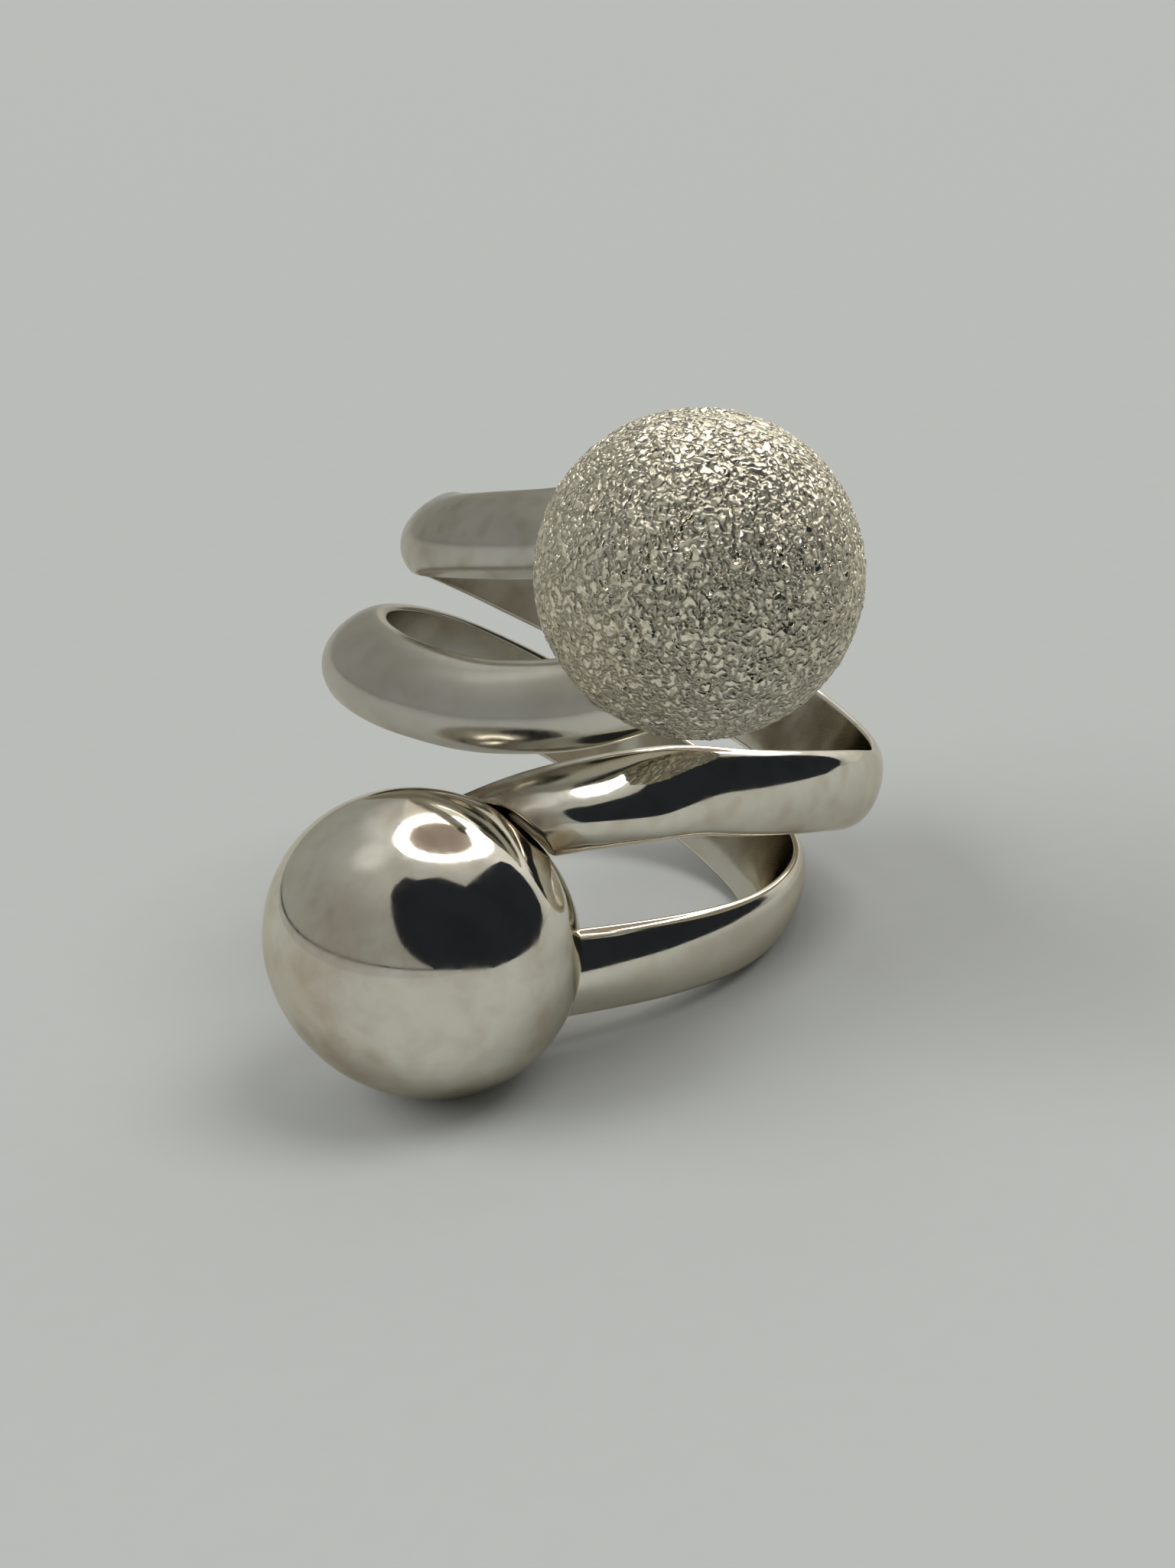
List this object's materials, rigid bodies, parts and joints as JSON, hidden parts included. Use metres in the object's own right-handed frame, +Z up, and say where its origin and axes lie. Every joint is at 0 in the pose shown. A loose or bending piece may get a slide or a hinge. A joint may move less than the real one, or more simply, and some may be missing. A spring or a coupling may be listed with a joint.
{
  "type": "finger ring",
  "caption": "Silver bypass ring: slim domed bands cross at the front and end at a mirror-polished ball and a sparkling grained ball, one above the other.",
  "frame": {"origin": "middle of the ring's outline at table level, as the ring rests on its polished ball and the low edge of its lower band", "axes": "+Z up from the table, -Y towards the viewer who sees the two balls; the finger hole's axis leans 41 degrees from upright, towards +X"},
  "size_m": [0.0224, 0.0274, 0.0221],
  "materials": {
    "silver": "polished silver, with a fine sparkling grain on one ball"
  },
  "bodies": {
    "root": {"ring": "silver"}
  },
  "joints": []
}
